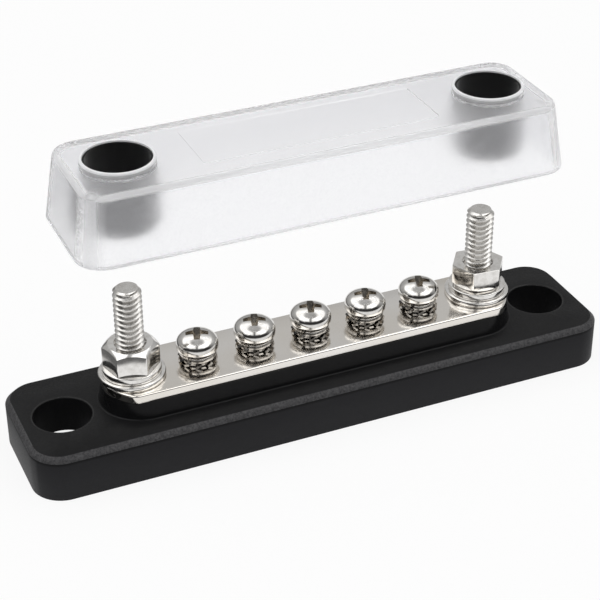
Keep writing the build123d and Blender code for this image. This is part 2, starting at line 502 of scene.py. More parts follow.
class Recipe(Nodes):
    """Lays out the nodes of one material."""

    def __init__(self, name: str) -> None:
        """Starts a material with a Principled shader.

        Args:
            name: The material's name.
        """
        self.material = bpy.data.materials.new(name)
        self.material.use_nodes = True
        super().__init__(self.material.node_tree)
        self.output = self.add("ShaderNodeOutputMaterial")
        self.shader = self.add("ShaderNodeBsdfPrincipled")
        self.cover_with(self.shader)
        self.place = self.add("ShaderNodeTexCoord").outputs["Object"]

    def cover_with(self, shader: Node) -> None:
        """Puts a shader on the surface."""
        self.feed(self.output.inputs["Surface"], shader.outputs[0])

    def set(self, **values: Socket | Triple | float) -> None:
        """Feeds the Principled shader's own inputs, by name with spaces as underscores."""
        self.fill(self.shader, **values)

    def noise(self, pattern: Noise) -> Socket:
        """Lays out a noise pattern.

        Args:
            pattern: The pattern.

        Returns:
            Its factor, mapped onto its levels.
        """
        vector = self.place
        if pattern.stretch:
            mapping = self.add("ShaderNodeMapping", Vector=vector, Scale=pattern.stretch)
            vector = mapping.outputs["Vector"]
        node = self.add("ShaderNodeTexNoise", Vector=vector, Scale=pattern.cells_per_metre,
                        Detail=pattern.octaves, Roughness=pattern.fine_strength)
        if pattern.levels == pattern.span:
            return node.outputs["Fac"]
        return self.spread(node.outputs["Fac"], pattern.levels, pattern.span)

    def blend(self, factor: Socket, low: Socket | Triple, high: Triple) -> Socket:
        """Mixes two colours.

        Args:
            factor: How much of the second shows, from 0 to 1.
            low: The first colour, plain or made by other nodes.
            high: The second colour.

        Returns:
            The mixed colour.
        """
        node = self.add("ShaderNodeMix", Factor=factor)
        node.data_type = "RGBA"
        ends = [socket for socket in node.inputs if socket.type == "RGBA"]
        self.feed(ends[0], low)
        self.feed(ends[1], high)
        return [socket for socket in node.outputs if socket.type == "RGBA"][0]

    def relief(self, height: Socket, depth: float, strength: float) -> None:
        """Raises a pattern on the surface, on top of any relief made before.

        Args:
            height: The pattern.
            depth: How high a value of 1 stands, in metres.
            strength: How strongly it turns the light.
        """
        bump = self.add("ShaderNodeBump", Strength=strength, Distance=depth, Height=height)
        normal = self.shader.inputs["Normal"]
        if normal.is_linked:
            self.feed(bump.inputs["Normal"], normal.links[0].from_socket)
        self.feed(normal, bump.outputs["Normal"])


@dataclass(frozen=True)
class BlackMoulding:
    """Black glass-filled nylon: a grained slab and a polished pedestal, with painted light: a
    paler chamfer in flecks and paler hole rims as painted highlights, and lighter side and end
    walls.

    Places, lengths and the blurs at the borders between looks are in metres. A relief is its
    height and strength.
    """

    dark: Triple = (0.005, 0.005, 0.0053)
    pale: Triple = (0.011, 0.011, 0.0116)
    mottle: Noise = Noise(420.0, 5.0, 0.65)
    # Paler flecks on the chamfer: a painted highlight for the light that the chamfer catches.
    line_tone_and_painted_highlight: Triple = (0.084, 0.083, 0.086)
    flecks: Noise = Noise(1900.0, 4.0, 0.7, (0.35, 1.0), (0.35, 0.65))
    # Painted light: a lighter colour for the slab's side walls than for its top.
    wall_painted_light: Triple = (0.021, 0.021, 0.023)
    # Painted highlight: a paler colour round each hole's rim.
    rim_painted_highlight: Triple = (0.022, 0.022, 0.022)
    # Painted light: a still lighter colour for the end walls.
    end_painted_light: Triple = (0.046, 0.046, 0.048)
    end_wall: float = 0.0687
    end_blur: float = 0.0004
    wall_top: float = 0.0088
    wall_blur: float = 0.0006
    rim_height: float = 0.01058
    rim_radius: float = 0.00688
    chamfer: Pair = (0.00955, 0.01078)
    chamfer_blur: float = 0.0001
    pedestal_foot: float = 0.01092
    pedestal_blur: float = 0.00002
    hole_x: float = 0.0593
    hole_radius: float = 0.00653
    hole_blur: float = 0.00005
    roughness: Noise = Noise(2600.0, 2.0, 0.5, (0.40, 0.56), (0.3, 0.7))
    pedestal_polish: float = 0.30
    rim_polish: float = 0.28
    sheen: Pair = (0.04, 0.19)
    pedestal_loss: float = 0.04
    refraction: float = 1.45
    grain: Noise = Noise(2300.0, 4.0, 0.6)
    grain_relief: Pair = (0.000022, 0.7)
    pits_per_metre: float = 1700.0
    pit_relief: Pair = (0.000011, 0.5)

    def make(self) -> Material:
        """Builds the base's material.

        Returns:
            The material.
        """
        recipe = Recipe("black_moulding")
        x, y, height = recipe.axes(recipe.place)
        outwards = recipe.unsigned(x)
        from_hole = recipe.measure("LENGTH", recipe.add(
            "ShaderNodeCombineXYZ", X=recipe.beyond(outwards, self.hole_x), Y=y).outputs[0])
        outside = recipe.above(from_hole, self.hole_radius, self.hole_blur)
        near_hole = recipe.below(from_hole, self.rim_radius, self.hole_blur)
        # Mask of the hole rims, which get a painted highlight and less roughness.
        rim = recipe.product(near_hole,
                             recipe.above(height, self.rim_height, self.chamfer_blur))
        pedestal = recipe.above(height, self.pedestal_foot, self.pedestal_blur)
        slab = recipe.remainder(pedestal)
        band = recipe.product(recipe.above(height, self.chamfer[0], self.chamfer_blur),
                              recipe.below(height, self.chamfer[1], self.chamfer_blur), outside)
        # Mask of the side walls, which get painted light.
        walls = recipe.product(recipe.below(height, self.wall_top, self.wall_blur), outside)
        # Mask of the end walls, which get more painted light.
        ends = recipe.product(recipe.above(outwards, self.end_wall, self.end_blur), walls)
        # Painted highlight: paler flecks laid over the chamfer band.
        line_tone_and_painted_highlight = recipe.product(band, recipe.noise(self.flecks))
        colour = recipe.blend(recipe.noise(self.mottle), self.dark, self.pale)
        # Painted light and painted highlights are blended over the mottled colour here.
        for factor, tone in ((line_tone_and_painted_highlight, self.line_tone_and_painted_highlight), (walls, self.wall_painted_light), (ends, self.end_painted_light),
                             (rim, self.rim_painted_highlight)):
            colour = recipe.blend(factor, colour, tone)
        rough = recipe.maths("SUBTRACT", recipe.noise(self.roughness),
                             recipe.spread(pedestal, (0, self.pedestal_polish)),
                             recipe.spread(rim, (0, self.rim_polish)))
        sheen = recipe.maths("SUBTRACT", recipe.spread(outside, self.sheen),
                             recipe.spread(pedestal, (0, self.pedestal_loss)))
        recipe.set(Base_Color=colour, Roughness=rough, Specular_IOR_Level=sheen,
                   IOR=self.refraction)
        recipe.relief(recipe.product(recipe.noise(self.grain), slab), *self.grain_relief)
        pits = recipe.add("ShaderNodeTexVoronoi", Vector=recipe.place, Scale=self.pits_per_metre)
        recipe.relief(recipe.product(pits.outputs["Distance"], slab), *self.pit_relief)
        return recipe.material


@dataclass(frozen=True)
class NickelPlate:
    """Bright nickel over a rolled brass bar: a soft mirror with faint drawing lines."""

    cool: Triple = (0.875, 0.85, 0.815)
    warm: Triple = (0.83, 0.785, 0.72)
    cloud: Noise = Noise(55.0, 3.0, span=(0.35, 0.7))
    lines: Noise = Noise(1.0, 3.0, 0.55, stretch=(60.0, 2600.0, 2600.0))
    line_roughness: Pair = (0.07, 0.15)
    line_span: Pair = (0.3, 0.7)
    line_relief: Pair = (0.0000012, 0.5)
    smudges: Noise = Noise(140.0, 4.0, levels=(0.0, 0.05))
    waves: Noise = Noise(320.0, 2.0)
    wave_relief: Pair = (0.000004, 0.3)

    def make(self) -> Material:
        """Builds the bar's material.

        Returns:
            The material.
        """
        recipe = Recipe("nickel_plate")
        lines = recipe.noise(self.lines)
        haze = recipe.maths("ADD", recipe.spread(lines, self.line_roughness, self.line_span),
                            recipe.noise(self.smudges))
        recipe.set(Base_Color=recipe.blend(recipe.noise(self.cloud), self.cool, self.warm),
                   Roughness=haze, Metallic=1.0)
        recipe.relief(lines, *self.line_relief)
        recipe.relief(recipe.noise(self.waves), *self.wave_relief)
        return recipe.material


@dataclass(frozen=True)
class PlatedSteel:
    """Nickel-plated steel of the fasteners, with small pits and stains. Its darker, rougher copy
    for the hollows carries painted shade in its colour.
    """

    name: str
    roughness: Pair
    bright: Triple = (0.76, 0.745, 0.72)
    dull: Triple = (0.62, 0.60, 0.57)
    stains: Noise = Noise(650.0, 4.0, span=(0.42, 0.75))
    wear: Noise = Noise(900.0, 5.0, 0.6)
    wear_span: Pair = (0.3, 0.7)
    pits: Noise = Noise(1300.0, 3.0)
    pit_relief: Pair = (0.000008, 0.35)

    def make(self) -> Material:
        """Builds one fastener material.

        Returns:
            The material.
        """
        recipe = Recipe(self.name)
        wear = recipe.spread(recipe.noise(self.wear), self.roughness, self.wear_span)
        recipe.set(Base_Color=recipe.blend(recipe.noise(self.stains), self.bright, self.dull),
                   Roughness=wear, Metallic=1.0)
        recipe.relief(recipe.noise(self.pits), *self.pit_relief)
        return recipe.material


@dataclass(frozen=True)
class ClearPlastic:
    """Clear moulded polycarbonate: polished outside, frosted inside, cloudy edges and collars.

    Places and lengths are in metres. Each milk is the share of the surface that is cloudy.
    """

    tint: Triple = (0.985, 0.986, 1.0)
    refraction: float = 1.42
    milk: Triple = (0.97, 0.97, 0.985)
    grain_tone: Triple = (0.84, 0.84, 0.86)
    gloss: float = 0.03
    frost: Noise = Noise(900.0, 4.0, 0.5, (0.391, 0.529), (0.3, 0.7))
    grain_milk: Noise = Noise(2300.0, 3.0, 0.75, (0.0, 0.24), (0.50, 0.56))
    wall_milk: float = 0.03
    collar_milk: float = 0.45
    lip_milk: float = 0.85
    lip_blur: float = 0.0001
    glow_share: float = 0.5
    edge_milk: float = 0.70
    edge_reach: float = 0.0013
    edge_full: float = 0.6
    corner_milk: float = 0.42
    corner_reach: float = 0.0052
    corner_full: float = 0.3
    rim_reach: float = 0.0005
    half_length: float = 0.05625
    half_width: float = 0.016
    rim: float = 0.05405
    draft: float = 2.2 / 15.2
    roof: float = 0.06925
    lip: float = 0.06995
    half_wall: float = 0.0009
    hair: float = 0.00001
    light_let_through: float = 0.9

    def depths(self, recipe: Recipe) -> list[Socket]:
        """Works out how deep in the cover a point lies.

        Args:
            recipe: The material.

        Returns:
            How far it is beyond the outside of the ends, the long sides and the roof.
        """
        x, y, height = recipe.axes(recipe.place)
        lean = recipe.spread(height, (-self.rim * self.draft, (1.0 - self.rim) * self.draft))
        sides = [recipe.maths("ADD", recipe.beyond(recipe.unsigned(value), half), lean)
                 for value, half in ((x, self.half_length), (y, self.half_width))]
        return [*sides, recipe.beyond(height, self.roof)]

    def edges(self, recipe: Recipe, height: Socket, depths: list[Socket]) -> Socket:
        """Works out how cloudy the moulded edges are: round the roof, up the corners, at the rim.

        Args:
            recipe: The material.
            height: How high a point is.
            depths: How deep it lies in the cover.

        Returns:
            The share that is cloudy.
        """
        end, side, roof = depths
        top = recipe.maths("MINIMUM", recipe.highest(end, side), roof)
        top = recipe.spread(top, (0.0, self.edge_milk),
                            (-self.edge_reach, -self.edge_reach * self.edge_full))
        corner = recipe.spread(recipe.maths("MINIMUM", end, side), (0.0, self.corner_milk),
                               (-self.corner_reach, -self.corner_reach * self.corner_full))
        rim = recipe.spread(height, (self.edge_milk, 0.0), (self.rim, self.rim + self.rim_reach))
        return recipe.highest(top, corner, rim)

    @staticmethod
    def unseen(recipe: Recipe) -> Socket:
        """Finds the rays that the cover isn't seen by.

        Args:
            recipe: The material.

        Returns:
            1 for shadows, bounced light and mirroring that hasn't passed through it yet.
        """
        path = recipe.add("ShaderNodeLightPath").outputs
        reflection = recipe.product(path["Is Glossy Ray"],
                                    recipe.remainder(path["Transmission Depth"]))
        return recipe.highest(path["Is Shadow Ray"], path["Is Diffuse Ray"], reflection)

    def make(self) -> Material:
        """Builds the cover's material, which lets lamps and bounced light through.

        Returns:
            The material.
        """
        recipe = Recipe("clear_plastic")
        height = recipe.axes(recipe.place)[2]
        depths = self.depths(recipe)
        outer = recipe.above(recipe.highest(*depths), -self.half_wall, self.hair)
        inner = recipe.remainder(outer)
        frost = recipe.product(recipe.noise(self.frost), inner)
        recipe.set(Base_Color=self.tint, Transmission_Weight=1.0, IOR=self.refraction,
                   Roughness=recipe.maths("ADD", frost, recipe.spread(outer, (0, self.gloss))))
        grain = recipe.product(recipe.noise(self.grain_milk), inner)
        cloud = recipe.blend(recipe.spread(grain, (0.0, 1.0), self.grain_milk.levels), self.milk,
                             self.grain_tone)
        collar = recipe.spread(height, (self.wall_milk, self.collar_milk),
                               (self.roof + self.hair, self.roof + 3 * self.hair))
        lip = recipe.spread(height, (0.0, self.lip_milk), (self.lip, self.lip + self.lip_blur))
        cloudy = recipe.mix(recipe.spread(lip, (self.glow_share, 0.0)),
                            recipe.add("ShaderNodeBsdfDiffuse", Color=cloud),
                            recipe.add("ShaderNodeBsdfTranslucent", Color=cloud))
        share = recipe.highest(recipe.maths("ADD", collar, grain),
                               self.edges(recipe, height, depths), lip)
        body = recipe.mix(share, recipe.shader, cloudy)
        recipe.cover_with(recipe.mix(
            recipe.spread(self.unseen(recipe), (0.0, self.light_let_through)), body,
            recipe.add("ShaderNodeBsdfTransparent")))
        return recipe.material


@dataclass(frozen=True)
class BlackSleeve:
    """Smooth black insulating sleeve with faint drawn lines along it."""

    colour: Triple = (0.004, 0.004, 0.0042)
    # Paler tone of the sleeve's drawn lines, its own colour; no painted light here.
    line_tone_and_painted_highlight: Triple = (0.008, 0.008, 0.0085)
    lines: Noise = Noise(1.0, 3.0, 0.6, stretch=(2400.0, 2400.0, 90.0))
    line_span: Pair = (0.3, 0.7)
    line_relief: Pair = (0.00001, 0.4)
    roughness: Pair = (0.38, 0.55)
    refraction: float = 1.45
    sheen: float = 0.2

    def make(self) -> Material:
        """Builds the sleeves' material.

        Returns:
            The material.
        """
        recipe = Recipe("black_sleeve")
        lines = recipe.noise(self.lines)
        recipe.set(Base_Color=recipe.blend(lines, self.colour, self.line_tone_and_painted_highlight),
                   Roughness=recipe.spread(lines, self.roughness, self.line_span),
                   IOR=self.refraction, Specular_IOR_Level=self.sheen)
        recipe.relief(lines, *self.line_relief)
        return recipe.material


@dataclass(frozen=True)
class Finishes:
    """Every material of the bus bar."""

    moulding: Material = field(default_factory=BlackMoulding().make)
    plate: Material = field(default_factory=NickelPlate().make)
    stud: Material = field(default_factory=PlatedSteel("stud_steel", (0.16, 0.30)).make)
    nut: Material = field(default_factory=PlatedSteel(
        "nut_steel", (0.08, 0.18), (0.85, 0.835, 0.81), (0.70, 0.68, 0.65)).make)
    screw: Material = field(default_factory=PlatedSteel("screw_steel", (0.06, 0.14)).make)
    # Painted shade: the recess steel's colours are darker than the screw steel's, for the shade in
    # the cross recesses; its extra roughness is real.
    recess: Material = field(default_factory=PlatedSteel(
        "recess_painted_shade_steel", (0.08, 0.30), (0.62, 0.58, 0.52), (0.20, 0.18, 0.15)).make)
    # Darker, duller steel for the split and star washers: partly their own duller tone, partly
    # painted shade for the gaps between the stacked parts.
    spring: Material = field(default_factory=PlatedSteel(
        "spring_steel", (0.10, 0.20), (0.60, 0.58, 0.55), (0.32, 0.30, 0.28)).make)
    clear: Material = field(default_factory=ClearPlastic().make)
    sleeve: Material = field(default_factory=BlackSleeve().make)


def dress(node: bpy.types.Object, finish: Material) -> None:
    """Gives a carried-over CAD node its finish.

    Args:
        node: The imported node, whose shape stays as it is.
        finish: The material.
    """
    slots = node.data.materials
    slots.clear()
    slots.append(finish)
    log.info("%s: CAD shape kept, finish %s", node.name, finish.name)


# The bar's fastenings


@dataclass(frozen=True)
class Thread:
    """A right-hand sixty degree thread, in millimetres, with its profile in shares of a pitch."""

    radius: float
    pitch: float
    steps: int = 48
    depth: float = 0.61
    crest: float = 0.125
    root: float = 0.2
    softening: float = 0.05

    def section(self) -> list[Pair]:
        """Draws one pitch of the half section: a flat root and a softened crest.

        Returns:
            Radius and height of each corner.
        """
        depth, crest, root, soft = (share * self.pitch for share in (
            self.depth, self.crest, self.root, self.softening))
        core = self.radius - depth
        foot = root + (self.pitch - crest - root) / 2
        return [(core, 0.0), (core, root), (self.radius - soft, foot),
                (self.radius, foot + 0.3 * crest), (self.radius, foot + 0.7 * crest),
                (self.radius - soft, foot + crest), (core, self.pitch)]

    def cut(self, bottom: float, top: float) -> Shell:
        """Winds the thread's section up the axis and trims it flat.

        Args:
            bottom: Lower end of the thread.
            top: Upper end of the thread.

        Returns:
            A closed threaded rod.
        """
        turns = math.ceil((top - bottom) / self.pitch) + 2
        rod = wound(open_line(self.section()), math.tau * turns, self.steps * turns,
                    self.pitch / self.steps)
        bmesh.ops.remove_doubles(rod, verts=rod.verts[:], dist=MERGE_BELOW)
        return trimmed(shifted(rod, z=bottom - self.pitch), bottom, top)

    @staticmethod
    def point(rod: Shell, end: float, tip_radius: float, inward: int) -> None:
        """Chamfers one end of a rod at 45 degrees.

        Args:
            rod: The threaded rod.
            end: Height of its end.
            tip_radius: Radius that is left there.
            inward: 1 where the rod stands above the end, -1 where it hangs below.
        """
        for vert in rod.verts:
            limit = tip_radius + max(0.0, (vert.co.z - end) * inward)
            reach = math.hypot(vert.co.x, vert.co.y)
            if reach > limit:
                vert.co.x *= limit / reach
                vert.co.y *= limit / reach


@dataclass(frozen=True)
class HexSection:
    """A regular hexagon with slightly rounded corners. Sizes in millimetres and degrees."""

    flats: float
    turn: float
    corner: float = 0.35
    flat_steps: int = 9
    corner_steps: int = 4

    def outline(self) -> list[Pair]:
        """Draws the hexagon.

        Returns:
            The points round it, in order.
        """
        points = []
        apothem = self.flats / 2
        reach = (apothem - self.corner) / math.cos(math.pi / 6)
        half = (apothem - self.corner) * math.tan(math.pi / 6)
        for side in range(6):
            turn = math.radians(self.turn + 60 * side)
            normal = turn + math.pi / 6
            points += arc((reach * math.cos(turn), reach * math.sin(turn)), self.corner,
                          turn - math.pi / 6, normal, self.corner_steps)
            for step in range(1, self.flat_steps):
                slide = half * (2 * step / self.flat_steps - 1)
                points.append((apothem * math.cos(normal) - slide * math.sin(normal),
                               apothem * math.sin(normal) + slide * math.cos(normal)))
        return points


@dataclass(frozen=True)
class SplitRing:
    """A spring washer: a rounded ring with a cut, flat or coiled. Millimetres and degrees."""

    bore: float
    radius: float
    bottom: float
    thickness: float
    gap: float
    turn: float
    slant: float = 35.0
    corner: float = 0.22
    rise: float = 0.0
    steps: int = 88

    def build(self) -> Shell:
        """Spins the ring's section most of the way round and slants its ends.

        Returns:
            A closed shell.
        """
        middle_radius = (self.bore + self.radius) / 2
        slant = math.radians(self.slant)
        gap_angle = self.gap / math.cos(slant) / middle_radius
        section = rounded_section(self.bore, self.radius, self.bottom,
                                  self.bottom + self.thickness, self.corner)
        ring = open_line(section, closed=True)
        start = math.radians(self.turn) + gap_angle / 2
        bmesh.ops.rotate(ring, verts=ring.verts[:], cent=(0, 0, 0),
                         matrix=Matrix.Rotation(start, 3, "Z"))
        wound(ring, math.tau - gap_angle, self.steps, self.rise / self.steps)
        middle = self.bottom + self.thickness / 2
        for vert in ring.verts:
            lean = -math.tan(slant) * (vert.co.z - middle) / middle_radius
            vert.co.rotate(Matrix.Rotation(lean, 3, "Z"))
        return tidy_shell(ring)


def turned_neck(corners: tuple[Pair, ...], radius: float, level: float, steps: int) -> Shell:
    """Turns the plain neck between a head and a thread.

    Args:
        corners: How far each corner lies inside the thread's radius, and above the level.
        radius: The thread's radius.
        level: The height that they are measured from.
        steps: Number of facets round the turn.

    Returns:
        A closed shell.
    """
    line = [(radius - inset, level + rise) for inset, rise in corners]
    return turned([(0.0, line[0][1]), *line, (0.0, line[-1][1])], steps)


@dataclass(frozen=True)
class StudSet:
    """One threaded stud with its plain washer, split washer and nut.

    Sizes in millimetres and degrees. The neck gives how far each corner lies inside the
    thread's radius and above its start, and the head the scale and height of each outline. The
    nut's seat is the height and scale of its lowest outline, and the cone's edge the drop and
    scale of the highest.
    """

    side: Side
    x: float
    nut_turn: float
    nut_face: NutFace
    bar_top: float = 17.05
    tip: float = 39.25
    tip_radius: float = 2.45
    thread: Thread = Thread(radius=3.175, pitch=1.27)
    thread_start: float = 12.0
    neck: tuple[Pair, ...] = ((0.0, -4.95), (0.0, -0.3), (0.5, 0.1))
    neck_steps: int = 48
    head_bottom: float = 3.55
    head_flats: float = 11.09
    head: tuple[Pair, ...] = ((0.9, 0.01), (1.0, 0.5), (1.0, 3.9), (0.98, 4.0))
    plain_radius: float = 7.5
    plain_thickness: float = 1.25
    plain_corner: float = 0.3
    plain_steps: int = 128
    split_radius: float = 6.65
    split_thickness: float = 1.6
    split_gap: float = 0.7
    split_turn: float = 20.0
    washer_bore: float = 3.375
    nut_flats: float = 11.11
    nut_height: float = 5.56
    nut_chamfer_drop: float = 1.0
    nut_chamfer_inset: float = 0.6
    nut_bore: float = 3.225
    nut_bore_chamfer: float = 0.4
    nut_edge: float = 0.12
    nut_seat: Pair = (0.0, 0.985)
    nut_cone_edge: Pair = (0.02, 0.992)

    def stud(self) -> Shell:
        """Makes the bolt: hex head below, plain neck and thread up to the tip.

        Returns:
            Three closed shells in one mesh.
        """
        rod = self.thread.cut(self.thread_start, self.tip)
        Thread.point(rod, self.tip, self.tip_radius, -1)
        outline = HexSection(self.head_flats, 0.0).outline()
        head = stacked_rings([ring_at(outline, self.head_bottom + height, scale)
                              for scale, height in self.head], closed=False)
        return joined(rod, turned_neck(self.neck, self.thread.radius, self.thread_start,
                                       self.neck_steps), head)

    def plain_washer(self) -> Shell:
        """Makes the stamped washer with its softened edges.

        Returns:
            A closed shell.
        """
        return turned(rounded_section(self.washer_bore, self.plain_radius, self.bar_top,
                                      self.bar_top + self.plain_thickness, self.plain_corner),
                      self.plain_steps, True)

    def split_washer(self) -> Shell:
        """The split washer, cut through on a slant."""
        return SplitRing(self.washer_bore, self.split_radius, self.bar_top + self.plain_thickness,
                         self.split_thickness, self.split_gap, self.split_turn).build()

    def nut(self) -> Shell:
        """Makes the hex nut with one chamfered face and a countersunk bore.

        Returns:
            A closed shell.
        """
        outline = HexSection(self.nut_flats, self.nut_turn).outline()
        height, edge = self.nut_height, self.nut_edge
        bore, mouth = self.nut_bore, self.nut_bore + self.nut_bore_chamfer
        flat = self.nut_flats / 2 - self.nut_chamfer_inset
        slope = self.nut_chamfer_drop / (self.nut_flats / math.sqrt(3) - flat)

        def circle(radius: float, z: float) -> list[Triple]:
            """A ring with a point in the direction of each point of the outline."""
            angles = [math.atan2(y, x) for x, y in outline]
            return [(radius * math.cos(angle), radius * math.sin(angle), z) for angle in angles]

        def under_cone(drop: float, scale: float) -> list[Triple]:
            """The outline, a drop below the cone that the chamfer follows."""
            return [(scale * x, scale * y, height - slope * (math.hypot(x, y) - flat) - drop)
                    for x, y in outline]

        shape = stacked_rings([
            circle(bore, self.nut_bore_chamfer), circle(mouth, 0.0),
            ring_at(outline, *self.nut_seat), ring_at(outline, edge), under_cone(edge, 1.0),
            under_cone(*self.nut_cone_edge), circle(flat, height), circle(mouth, height),
            circle(bore, height - self.nut_bore_chamfer)], closed=True)
        if self.nut_face is NutFace.DOWN:
            turn = math.radians(self.nut_turn)
            flip = Matrix.Rotation(math.pi, 3, Vector((math.cos(turn), math.sin(turn), 0)))
            bmesh.ops.rotate(shape, verts=shape.verts[:], cent=(0, 0, height / 2), matrix=flip)
        return shifted(shape, z=self.bar_top + self.plain_thickness + self.split_thickness)

    def build(self, finishes: Finishes) -> None:
        """Makes the four pieces of this end.

        Args:
            finishes: The materials to choose from.
        """
        side = self.side.value
        Piece(f"threaded_stud_{side}", "base", "steel", finishes.stud,
              (f"stud_{side}",)).make(self.stud(), self.x)
        Piece(f"plain_washer_{side}", "base", "steel", finishes.nut,
              (f"flat_washer_{side}",)).make(self.plain_washer(), self.x)
        Piece(f"split_washer_{side}", f"lock_washer_{side}", "steel", finishes.nut,
              (f"lock_washer_{side}",)).make(self.split_washer(), self.x)
        Piece(f"hex_nut_{side}", f"nut_{side}", "steel", finishes.nut,
              (f"stud_nut_{side}",)).make(self.nut(), self.x)


@dataclass(frozen=True)
class TerminalScrew:
    """A pan head screw with a cross recess and its captive split washer.

    Sizes in millimetres and degrees. The neck and the head's edge give how far each corner lies
    inside the radius and above the head's underside.
    """

    number: int
    x: float
    head_bottom: float = 20.168
    head_height: float = 3.85
    head_radius: float = 4.75
    head_side: float = 1.1
    head_edge: tuple[Pair, ...] = ((0.0, 0.22), (0.08, 0.07), (0.25, 0.0))
    dome_steps: int = 18
    swell: float = 2.08
    tip: float = 10.168
    tip_radius: float = 1.9
    thread: Thread = Thread(radius=2.5, pitch=0.8, steps=36)
    thread_drop: float = 0.6
    neck: tuple[Pair, ...] = ((0.5, -0.9), (0.05, -0.5), (0.05, 0.2))
    recess_turn: float = -20.0
    recess_span: float = 6.0
    recess_arm: float = 1.5
    recess_web: float = 1.25
    recess_depth: float = 2.3
    recess_floor: float = 0.5
    recess_skin: float = 0.05
    underside_skin: float = 0.2
    overcut: float = 0.5
    washer_radius: float = 4.2
    washer_bore: float = 2.65
    washer_thickness: float = 1.2
    washer_rise: float = 0.85
    washer_gap: float = 0.7
    washer_turn: float = -135.0
    hair: float = 0.02

    def head_line(self) -> list[Pair]:
        """Draws the half section of the domed head, from the axis down to its underside.

        Returns:
            Radius and height of each corner.
        """
        top = self.head_bottom + self.head_height
        side_top = self.head_bottom + self.head_side
        line = []
        for step in range(1, self.dome_steps):
            angle = math.radians(90 * step / self.dome_steps)
            line.append((self.head_radius * math.sin(angle) ** (2 / self.swell),
                         side_top + (top - side_top) * math.cos(angle) ** (2 / self.swell)))
        edge = [(self.head_radius - inset, self.head_bottom + rise)
                for inset, rise in self.head_edge]
        return [(0.0, top), *line, (self.head_radius, side_top), *edge, (0.0, self.head_bottom)]

    def dome_height(self, reach: float) -> float:
        """How high the dome stands at a distance from the axis.

        Args:
            reach: The distance.

        Returns:
            The height.
        """
        sine = min(1.0, reach / self.head_radius) ** (self.swell / 2)
        rise = self.head_height - self.head_side
        return (self.head_bottom + self.head_side
                + rise * math.sqrt(max(0.0, 1 - sine ** 2)) ** (2 / self.swell))

    def mark_recess(self, head: Shell) -> None:
        """Gives the faces that lie below the dome, inside the cross, the second finish, whose
        darker colour is painted shade.

        Args:
            head: The head, which is changed.
        """
        for face in head.faces:
            middle = face.calc_center_median()
            reach = math.hypot(middle.x, middle.y)
            sunk = self.dome_height(reach) - middle.z > self.recess_skin
            clear = middle.z > self.head_bottom + self.underside_skin
            if sunk and clear and reach < self.recess_span / 2:
                face.material_index = 1

    def recess(self) -> Shell:
        """Makes the driver's cross, which narrows towards its floor.

        Returns:
            A closed block that stands out above the head.
        """
        top = self.head_bottom + self.head_height
        cross = bmesh.new()
        arm, reach, web = self.recess_arm / 2, self.recess_span / 2, self.recess_web
        plan = [(reach, arm), (arm * web, arm * web), (arm, reach)]
        corners = []
        for quarter in range(4):
            turn = Matrix.Rotation(math.radians(90 * quarter + self.recess_turn), 2)
            corners += [cross.verts.new((*(turn @ Vector(spot)), top + self.overcut))
                        for spot in plan]
        face = cross.faces.new(corners)
        sunk = bmesh.ops.extrude_face_region(cross, geom=[face])["geom"]
        floor = [item for item in sunk if isinstance(item, bmesh.types.BMVert)]
        bmesh.ops.translate(cross, verts=floor, vec=(0, 0, -self.overcut - self.recess_depth))
        bmesh.ops.scale(cross, verts=floor, vec=(self.recess_floor, self.recess_floor, 1.0))
        return tidy_shell(cross)

    def screw(self) -> Shell:
        """Makes the head with its recess, and the threaded shank.

        Returns:
            Three closed shells in one mesh.
        """
        head = cut_away(turned(self.head_line()), self.recess())
        self.mark_recess(head)
        rod = self.thread.cut(self.tip, self.head_bottom - self.thread_drop)
        Thread.point(rod, self.tip, self.tip_radius, 1)
        return joined(head, rod, turned_neck(self.neck, self.thread.radius, self.head_bottom,
                                             self.thread.steps))

    def washer(self) -> Shell:
        """Makes the split washer that is held under the head.

        Returns:
            A closed shell.
        """
        bottom = self.head_bottom - self.washer_thickness - self.washer_rise - self.hair
        return SplitRing(self.washer_bore, self.washer_radius, bottom, self.washer_thickness,
                         self.washer_gap, self.washer_turn, slant=0.0,
                         rise=self.washer_rise).build()

    def build(self, finishes: Finishes) -> None:
        """Makes the screw and its split washer.

        Args:
            finishes: The materials to choose from.
        """
        Piece(f"cross_head_screw_{self.number}", f"screw_{self.number}", "steel",
              finishes.screw, (f"terminal_screw_{self.number}",),
              finishes.recess).make(self.screw(), self.x)
        Piece(f"spring_washer_{self.number}", f"screw_washers_{self.number}", "steel",
              finishes.spring, (f"screw_lock_washer_{self.number}",)).make(self.washer(), self.x)


# The bar, the base and the sleeves


